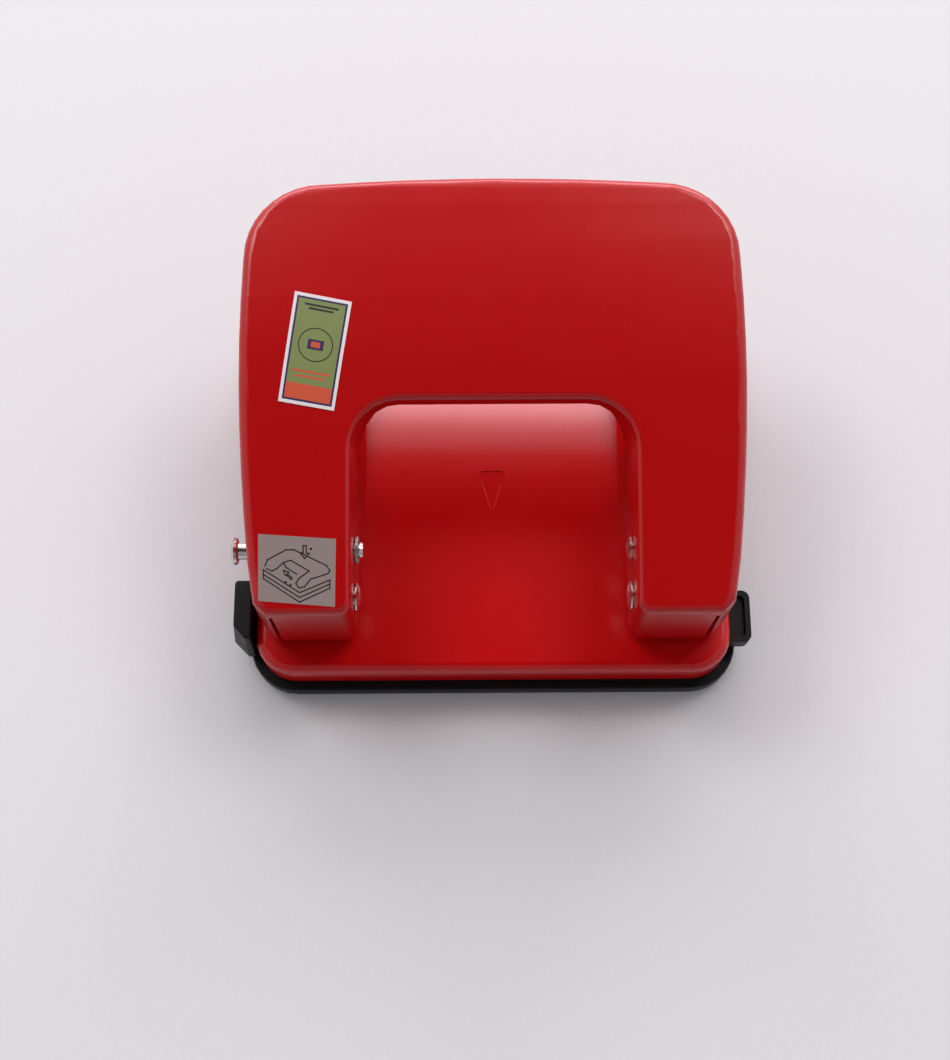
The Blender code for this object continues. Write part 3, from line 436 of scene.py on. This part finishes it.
guide = Label("use_label", [(-48.88, -23.15), (-32.72, -24.26), (-32.94, -37.91), (-48.84, -36.61)])
guide.patch(frame_box(0, 0, 1, 1), label_grey, PAPER_LIFT, 6)
OUTLINES = [
    # lever's top
    [(0.09, 0.47), (0.12, 0.38), (0.36, 0.21), (0.46, 0.20), (0.88, 0.40), (0.93, 0.47), (0.90, 0.52),
     (0.68, 0.62), (0.60, 0.74), (0.53, 0.76), (0.49, 0.70), (0.53, 0.62), (0.66, 0.50), (0.42, 0.36),
     (0.33, 0.40), (0.24, 0.50), (0.18, 0.54), (0.11, 0.51)],
    # window's far edge
    [(0.33, 0.40), (0.36, 0.47), (0.50, 0.56)],
    # base plate
    [(0.07, 0.53), (0.07, 0.60), (0.54, 0.90), (0.93, 0.67), (0.93, 0.61)],
    [(0.07, 0.60), (0.07, 0.66), (0.54, 0.97), (0.93, 0.73), (0.93, 0.67)],
    [(0.07, 0.53), (0.54, 0.83), (0.93, 0.61)],
    # arrow down on the lever
    [(0.58, 0.13), (0.58, 0.24), (0.54, 0.24), (0.60, 0.32), (0.66, 0.24), (0.62, 0.24),
     (0.62, 0.13), (0.58, 0.13)],
    # arrow in towards the paper gap
    [(0.44, 0.62), (0.38, 0.57), (0.40, 0.54), (0.33, 0.52), (0.35, 0.59), (0.37, 0.585),
     (0.43, 0.645), (0.44, 0.62)],
]
for points in OUTLINES:
    guide.line(points, 0.27, ink, DRAWING_LIFT)
for u, v in ((0.68, 0.17), (0.36, 0.69), (0.42, 0.73)):
    guide.patch(ellipse(u, v, 0.017, 0.020, 12), ink, DOT_LIFT)


def peened_end(name, x, y, z):
    """Low peened dome of a rivet on a leg's outer face, turned about X."""
    bm = bmesh.new()
    side = 1 if x > 0 else -1
    profile = [(0.0, 0.55), (0.9, 0.50), (1.7, 0.34), (2.2, 0.12), (2.3, 0.0), (2.3, -0.3)]
    verts = [bm.verts.new((x + side * h, y + r, z)) for r, h in profile]
    edges = [bm.edges.new(pair) for pair in zip(verts, verts[1:])]
    bmesh.ops.spin(bm, geom=verts + edges, cent=(x, y, z), axis=(1, 0, 0), angle=math.tau, steps=32,
                   use_merge=True)
    bmesh.ops.remove_doubles(bm, verts=bm.verts, dist=1e-4)
    finished(bm, name, nickel, "lever")


def bead_height(y):
    """Height of the bead's path: the panel's curve, begun 3 mm ahead of the panel's own start."""
    past = max(0.0, y - BEAD_FALL_START)
    return BED_TOP - PANEL_RADIUS + math.sqrt(PANEL_RADIUS ** 2 - past ** 2)


def bead_path():
    """Points round the arrow, with a soft turn at each corner."""
    corners = [(0.0, -10.1), (2.75, 0.1), (2.75, 1.35), (-2.75, 1.35), (-2.75, 0.1)]
    path = []
    for i, point in enumerate(corners):
        before, here, after = Vector(corners[i - 1]), Vector(point), Vector(corners[(i + 1) % 5])
        start = here.lerp(before, BEAD_ROUNDING / (before - here).length)
        end = here.lerp(after, BEAD_ROUNDING / (after - here).length)
        path += [start.lerp(here, t).lerp(here.lerp(end, t), t) for t in (0, 0.25, 0.5, 0.75, 1)]
        path += [end.lerp(after, t * (1 - BEAD_ROUNDING / (after - end).length)) for t in (0.33, 0.66)]
    return path


def arrow_bead():
    """Outline of the centre mark as a closed bead, set low in the panel."""
    path = bead_path()
    bm = bmesh.new()
    sections = []
    for i, point in enumerate(path):
        along = (path[(i + 1) % len(path)] - path[i - 1]).normalized()
        across = Vector((along.y, -along.x, 0))
        turn = Matrix((across, (0, 0, 1), (along.x, along.y, 0))).transposed().to_4x4()
        centre = Matrix.Translation((point.x, point.y, bead_height(point.y) + BEAD_LIFT))
        flatten = Matrix.Diagonal((1, BEAD_FLATNESS, 1, 1))
        made = bmesh.ops.create_circle(bm, segments=10, radius=BEAD_RADIUS, matrix=centre @ turn @ flatten)
        sections.append(list({edge for vert in made["verts"] for edge in vert.link_edges}))
    for i, section in enumerate(sections):
        bmesh.ops.bridge_loops(bm, edges=sections[i - 1] + section)
    # The bead wears the same lighter copy of the red paint, which carries painted light.
    finished(bm, "centre_mark_bead", red_bed_painted_light, "base")


arrow_bead()
for side, name in ((-1, "left"), (1, "right")):
    peened_end("pivot_rivet_end_" + name, side * PIVOT_END_X, *PIVOT)
peened_end("drive_rivet_end_right", DRIVE_END_X, *DRIVE)

# ---------------------------------------------------------------- floor, light, camera
bpy.ops.mesh.primitive_plane_add(size=6.0, location=(0, 0, -0.00005))
floor = bpy.context.object
floor.name = "floor"
ground, tree, shader = principled("pale_paper")
grain = remap(tree, noise(tree, 900, 3), 0, 1)
pale = tinted(tree, grain, (0.690, 0.690, 0.700), (0.705, 0.705, 0.714))
tree.links.new(pale, shader.inputs["Base Color"])
shader.inputs["Roughness"].default_value = 0.85
shader.inputs["Specular IOR Level"].default_value = 0.15
floor.data.materials.append(ground)


def soft_light(name, place, size, power, colour):
    """Large soft rectangular light."""
    data = bpy.data.lights.new(name, "AREA")
    data.shape = "RECTANGLE"
    data.size, data.size_y = size
    data.energy = power
    data.color = colour
    light = bpy.data.objects.new(name, data)
    light.location = place
    light.rotation_euler = (Vector(LIGHT_AIM) - Vector(place)).to_track_quat("-Z", "Y").to_euler()
    scene.collection.objects.link(light)


soft_light("window_light", (0.05, 2.00, 0.80), (2.6, 0.70), 39.0, (1.0, 0.90, 0.97))
soft_light("left_back_key", (-0.62, 0.60, 1.05), (0.50, 0.50), 4.7, (1.0, 0.985, 0.99))
soft_light("right_back_key", (0.55, 0.60, 1.05), (0.50, 0.50), 4.2, (1.0, 0.985, 0.99))

world = bpy.data.worlds.new("studio")
world.use_nodes = True
tree = world.node_tree
backdrop = tree.nodes["Background"]
coord = tree.nodes.new("ShaderNodeTexCoord")
split = tree.nodes.new("ShaderNodeSeparateXYZ")
tree.links.new(coord.outputs["Generated"], split.inputs["Vector"])
toward_window = remap(tree, split.outputs["Y"], 0.0, 1.0, -0.8, 0.8)
room = tinted(tree, toward_window, (0.34, 0.328, 0.343), (1.12, 1.09, 1.13))
above = tree.nodes.new("ShaderNodeVectorMath")
above.operation = "DOT_PRODUCT"
above.inputs[1].default_value = (0.0, -0.02, 1.0)
tree.links.new(coord.outputs["Generated"], above.inputs[0])
shaded = remap(tree, above.outputs["Value"], 0.0, 1.0, 0.78, 0.91)
dark_ceiling = tree.nodes.new("ShaderNodeMix")
dark_ceiling.data_type = "RGBA"
dark_ceiling.inputs["B"].default_value = (0.020, 0.017, 0.019, 1)
tree.links.new(room, dark_ceiling.inputs["A"])
tree.links.new(shaded, dark_ceiling.inputs["Factor"])
tree.links.new(dark_ceiling.outputs["Result"], backdrop.inputs["Color"])
backdrop.inputs["Strength"].default_value = 1.0
scene.world = world

camera_data = bpy.data.cameras.new("camera")
camera_data.sensor_width = 36.0
camera_data.lens = 52.6517
camera_data.clip_start, camera_data.clip_end = 0.01, 20.0
camera_data.dof.use_dof = False
camera = bpy.data.objects.new("camera", camera_data)
turn = Matrix.Rotation(0.0002, 4, "Z") @ Matrix.Rotation(0.3042, 4, "X") @ Matrix.Rotation(-0.0064, 4, "Z")
camera.matrix_world = Matrix.Translation((-0.00391, -0.1188, 0.350)) @ turn
scene.collection.objects.link(camera)
scene.camera = camera

scene.view_settings.view_transform = "Standard"
scene.view_settings.look = "None"
scene.view_settings.exposure = 0.0
